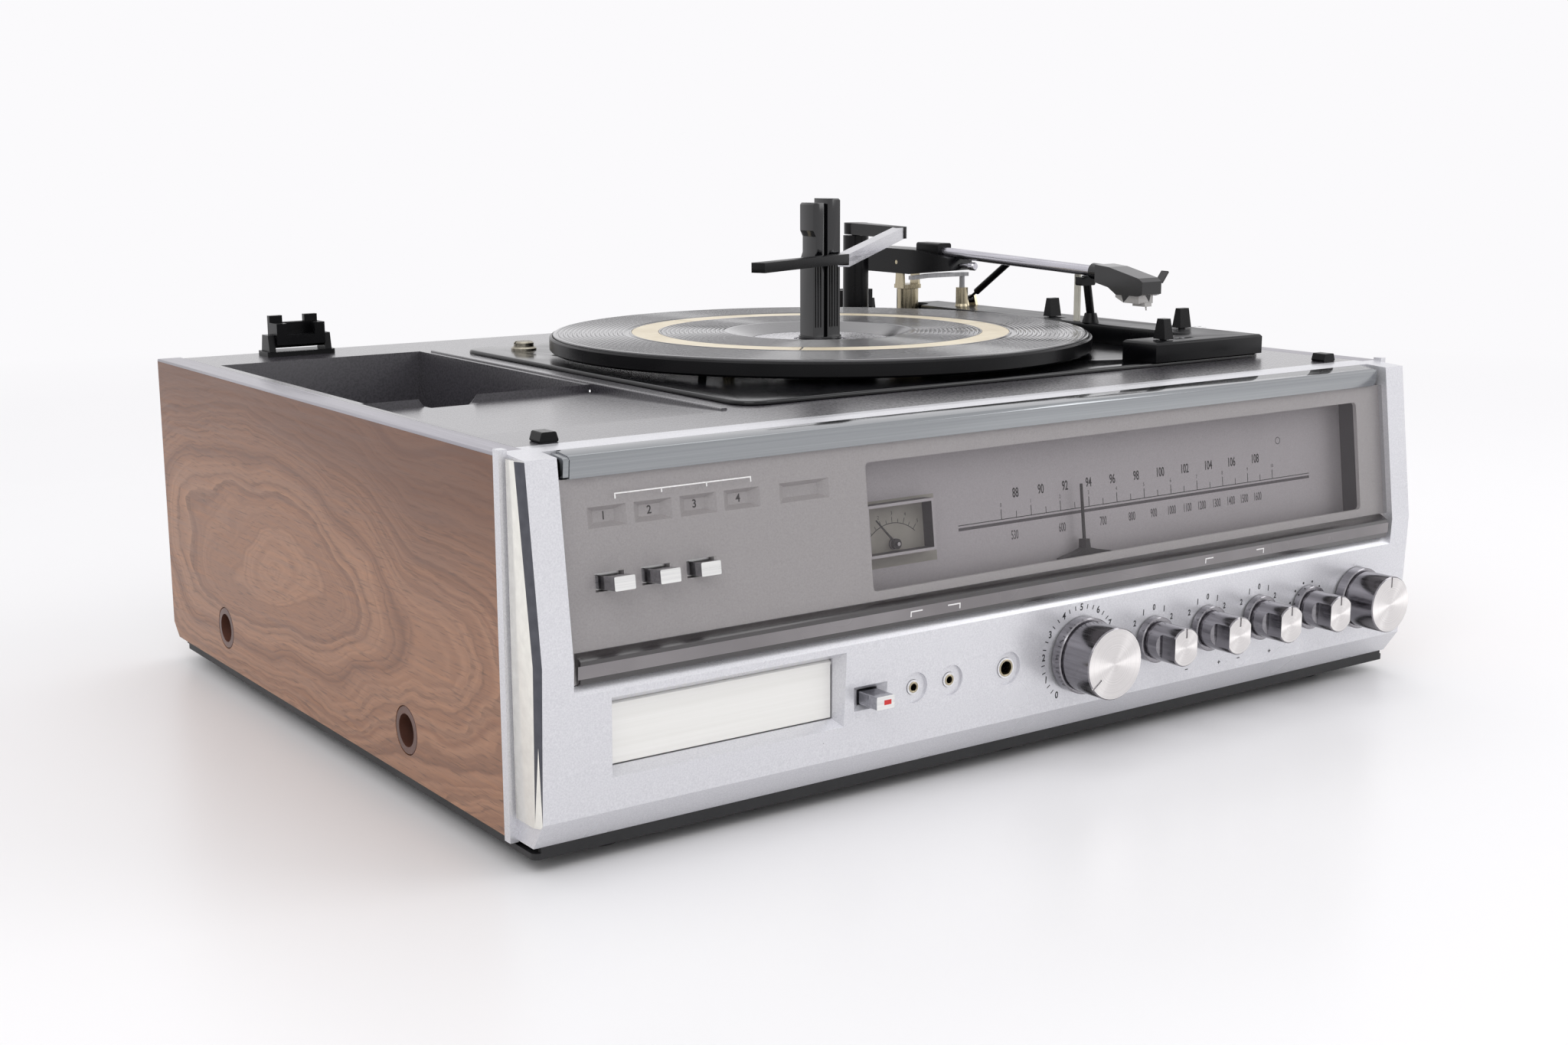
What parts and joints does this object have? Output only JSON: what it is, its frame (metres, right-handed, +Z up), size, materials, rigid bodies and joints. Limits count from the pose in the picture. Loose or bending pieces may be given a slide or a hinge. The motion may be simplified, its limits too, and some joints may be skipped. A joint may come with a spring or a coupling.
{
  "type": "compact stereo with tape recorder, receiver and record changer",
  "caption": "Table-top stereo centre: tape cartridge recorder, tuner dial, six knobs and a record changer on a wood-sided cabinet.",
  "frame": {"origin": "under the middle of the whole object, on the surface it stands on", "axes": "+X to the right of the front, +Y from the front to the back, +Z up"},
  "size_m": [0.495, 0.4234, 0.237],
  "materials": {
    "walnut": "satin walnut veneer",
    "silver_strip": "fine brushed, clear coated",
    "silver_moulding": "satin silver paint",
    "polished_trim": "polished plate",
    "chrome": "polished and brushed",
    "smoked_sheet": "smoked clear acrylic",
    "fascia_grey": "satin grey metallic",
    "dial_grey": "satin silver grey",
    "dark_moulding": "smoked gloss",
    "base_black": "fine moulded grain",
    "deck_black": "leather grained moulding",
    "black_plastic": "smooth moulded",
    "gloss_black": "semi-gloss",
    "plate_black": "semi-gloss enamel",
    "brown_plastic": "semi-gloss",
    "steel": "zinc plated",
    "sheet_steel": "passivated sheet",
    "knob_metal": "spun and turned",
    "button_metal": "polished with brushed face",
    "door_silver": "satin",
    "mat_rubber": "ribbed",
    "platter_metal": "painted rim, bright centre",
    "idler_rubber": "matt",
    "brass": "turned",
    "arm_metal": "satin",
    "core_iron": "varnished laminations",
    "circuit": "paper board",
    "foot_rubber": "matt",
    "needle_black": "matt",
    "back_board": "hardboard"
  },
  "bodies": {
    "cabinet": {"side_panels": "walnut", "top_strips": "silver_strip", "base_tray": "base_black", "screw_cups": "brown_plastic", "case_screws": "steel", "feet": "foot_rubber", "front_frame": "silver_moulding", "cheek_trims": "polished_trim", "chrome_bar": "chrome", "dial_window": "smoked_sheet", "fascia_plate": "fascia_grey", "dial_box": "dial_grey", "legend_ledge": "dark_moulding", "tape_chassis": "sheet_steel", "drive_motors": "steel", "receiver_boards": "circuit", "top_deck": "deck_black", "lid_fittings": "black_plastic", "changer_plate": "plate_black", "control_block": "plate_black", "platter_bearing": "steel", "arm_posts": "black_plastic", "tonearm_base": "brass", "power_transformer": "core_iron", "back_panel": "back_board", "rear_terminals": "gloss_black"},
    "turntable": {"platter": "platter_metal", "platter_mat": "mat_rubber"},
    "record_arm": {"overarm": "black_plastic", "overarm_link": "arm_metal"},
    "arm_yoke": {"tonearm_gimbal": "brass"},
    "tonearm": {"arm_housing": "black_plastic", "arm_tube": "arm_metal", "headshell": "black_plastic"},
    "dial_pointer": {"dial_pointer": "needle_black"},
    "meter_needle": {"meter_needle": "needle_black"},
    "tape_door": {"tape_door": "door_silver"},
    "record_button": {"record_button": "button_metal"},
    "program_button": {"program_button": "button_metal"},
    "fast_forward_button": {"fast_forward_button": "button_metal"},
    "pause_button": {"pause_button": "button_metal"},
    "volume_knob": {"volume_knob": "knob_metal"},
    "balance_knob": {"balance_knob": "knob_metal"},
    "bass_knob": {"bass_knob": "knob_metal"},
    "treble_knob": {"treble_knob": "knob_metal"},
    "selector_knob": {"selector_knob": "knob_metal"},
    "tuning_knob": {"tuning_knob": "knob_metal"},
    "capstan_flywheel": {"capstan_flywheel": "steel"},
    "motor_pulley": {"motor_pulley": "brass"},
    "hinge_socket_left": {"hinge_socket_left": "black_plastic"},
    "hinge_socket_right": {"hinge_socket_right": "black_plastic"},
    "speed_lever": {"speed_lever": "black_plastic"},
    "size_lever": {"size_lever": "black_plastic"},
    "reject_lever": {"reject_lever": "black_plastic"},
    "spindle_adapter": {"spindle_adapter": "gloss_black"},
    "idler_wheel": {"idler_wheel": "idler_rubber"},
    "changer_pulley": {"changer_pulley": "brass"},
    "cue_lever": {"cue_lever": "black_plastic"},
    "lift_bar": {"lift_bar": "steel"},
    "tuning_drum": {"tuning_drum": "gloss_black"}
  },
  "joints": [
    {"name": "tape_door_swing", "type": "hinge", "parent": "cabinet", "child": "tape_door", "pos_m": [-0.1609, -0.1819, 0.0608], "axis": [1, 0, 0], "range_deg": [0, 75], "stiffness_Nm_per_rad": 0.002},
    {"name": "program_press", "type": "slide", "parent": "cabinet", "child": "program_button", "axis": [0, 0.9927, -0.1203], "range_m": [0, 0.004], "stiffness_N_per_m": 200, "springref_m": -0.002},
    {"name": "fast_forward_press", "type": "slide", "parent": "cabinet", "child": "fast_forward_button", "axis": [0, 0.9927, -0.1203], "range_m": [0, 0.004], "stiffness_N_per_m": 200, "springref_m": -0.002},
    {"name": "pause_press", "type": "slide", "parent": "cabinet", "child": "pause_button", "axis": [0, 0.9927, -0.1203], "range_m": [0, 0.004], "stiffness_N_per_m": 200, "springref_m": -0.002},
    {"name": "record_press", "type": "slide", "parent": "cabinet", "child": "record_button", "axis": [0, 1, 0], "range_m": [0, 0.005], "stiffness_N_per_m": 200, "springref_m": -0.002},
    {"name": "volume_turn", "type": "hinge", "parent": "cabinet", "child": "volume_knob", "pos_m": [0.0216, -0.18929, 0.0455], "axis": [0, 1, 0], "range_deg": [0, 275]},
    {"name": "balance_turn", "type": "hinge", "parent": "cabinet", "child": "balance_knob", "pos_m": [0.0668, -0.18929, 0.0455], "axis": [0, 1, 0], "range_deg": [-135, 135]},
    {"name": "bass_turn", "type": "hinge", "parent": "cabinet", "child": "bass_knob", "pos_m": [0.1017, -0.18929, 0.0455], "axis": [0, 1, 0], "range_deg": [-135, 135]},
    {"name": "treble_turn", "type": "hinge", "parent": "cabinet", "child": "treble_knob", "pos_m": [0.1365, -0.18929, 0.0455], "axis": [0, 1, 0], "range_deg": [-135, 135]},
    {"name": "selector_turn", "type": "hinge", "parent": "cabinet", "child": "selector_knob", "pos_m": [0.1713, -0.18929, 0.0455], "axis": [0, 1, 0], "range_deg": [-75, 75]},
    {"name": "tuning_turn", "type": "hinge", "parent": "cabinet", "child": "tuning_knob", "pos_m": [0.2062, -0.18929, 0.0455], "axis": [0, 1, 0], "range_deg": [-300, 930]},
    {"name": "pointer_slide", "type": "slide", "parent": "cabinet", "child": "dial_pointer", "axis": [1, 0, 0], "range_m": [-0.0425, 0.1305]},
    {"name": "drum_turn", "type": "hinge", "parent": "cabinet", "child": "tuning_drum", "pos_m": [0.178, -0.16032, 0.104], "axis": [0, 1, 0], "range_deg": [-90, 270]},
    {"name": "meter_swing", "type": "hinge", "parent": "cabinet", "child": "meter_needle", "pos_m": [-0.0688, -0.17321, 0.10303], "axis": [0, 0.9927, -0.1203], "range_deg": [0, 84], "stiffness_Nm_per_rad": 0.00001},
    {"name": "platter_spin", "type": "hinge", "parent": "cabinet", "child": "turntable", "pos_m": [0.036, 0.02168, 0.164], "axis": [0, 0, -1], "continuous": true},
    {"name": "idler_spin", "type": "hinge", "parent": "cabinet", "child": "idler_wheel", "pos_m": [-0.06795, -0.02679, 0.162], "axis": [0, 0, -1], "continuous": true},
    {"name": "changer_pulley_spin", "type": "hinge", "parent": "cabinet", "child": "changer_pulley", "pos_m": [-0.04774, -0.01736, 0.162], "axis": [0, 0, -1], "continuous": true},
    {"name": "capstan_spin", "type": "hinge", "parent": "cabinet", "child": "capstan_flywheel", "pos_m": [-0.124, -0.08031, 0.024], "axis": [0, 0, -1], "continuous": true},
    {"name": "tape_pulley_spin", "type": "hinge", "parent": "cabinet", "child": "motor_pulley", "pos_m": [-0.072, -0.10232, 0.024], "axis": [0, 0, -1], "continuous": true},
    {"name": "adapter_lift", "type": "slide", "parent": "cabinet", "child": "spindle_adapter", "axis": [0, 0, 1], "range_m": [0, 0.03]},
    {"name": "left_socket_tilt", "type": "hinge", "parent": "cabinet", "child": "hinge_socket_left", "pos_m": [-0.181, 0.18768, 0.164], "axis": [-1, 0, 0], "range_deg": [0, 60]},
    {"name": "right_socket_tilt", "type": "hinge", "parent": "cabinet", "child": "hinge_socket_right", "pos_m": [0.181, 0.18768, 0.164], "axis": [-1, 0, 0], "range_deg": [0, 60]},
    {"name": "speed_slide", "type": "slide", "parent": "cabinet", "child": "speed_lever", "axis": [1, 0, 0], "range_m": [0, 0.019]},
    {"name": "size_slide", "type": "slide", "parent": "cabinet", "child": "size_lever", "axis": [0, 1, 0], "range_m": [0, 0.014]},
    {"name": "reject_slide", "type": "slide", "parent": "cabinet", "child": "reject_lever", "axis": [0, -1, 0], "range_m": [0, 0.009], "stiffness_N_per_m": 100, "springref_m": -0.002},
    {"name": "record_arm_swing", "type": "hinge", "parent": "cabinet", "child": "record_arm", "pos_m": [0.144, 0.13268, 0.212], "axis": [0, 0, 1], "range_deg": [0, 70]},
    {"name": "tonearm_swing", "type": "hinge", "parent": "cabinet", "child": "arm_yoke", "pos_m": [0.181, 0.12968, 0.178], "axis": [0, 0, -1], "range_deg": [0, 38]},
    {"name": "tonearm_raise", "type": "hinge", "parent": "arm_yoke", "child": "tonearm", "pos_m": [0.181, 0.12968, 0.194], "axis": [-1, 0, 0], "range_deg": [0, 5]},
    {"name": "lift_bar_drop", "type": "slide", "parent": "cabinet", "child": "lift_bar", "axis": [0, 0, -1], "range_m": [0, 0.005]},
    {"name": "cue_lever_turn", "type": "hinge", "parent": "cabinet", "child": "cue_lever", "pos_m": [0.205, 0.10168, 0.1722], "axis": [1, 0, 0], "range_deg": [0, 25.5]}
  ],
  "couplings": [
    {"joint": "pointer_slide", "follows": "tuning_turn", "m_per_rad": 0.008},
    {"joint": "drum_turn", "follows": "tuning_turn", "ratio": 0.28571},
    {"joint": "idler_spin", "follows": "platter_spin", "ratio": 7.3889},
    {"joint": "changer_pulley_spin", "follows": "platter_spin", "ratio": -33.25},
    {"joint": "tape_pulley_spin", "follows": "capstan_spin", "ratio": 6},
    {"joint": "cue_lever_turn", "follows": "lift_bar_drop", "rad_per_m": 87.266}
  ]
}
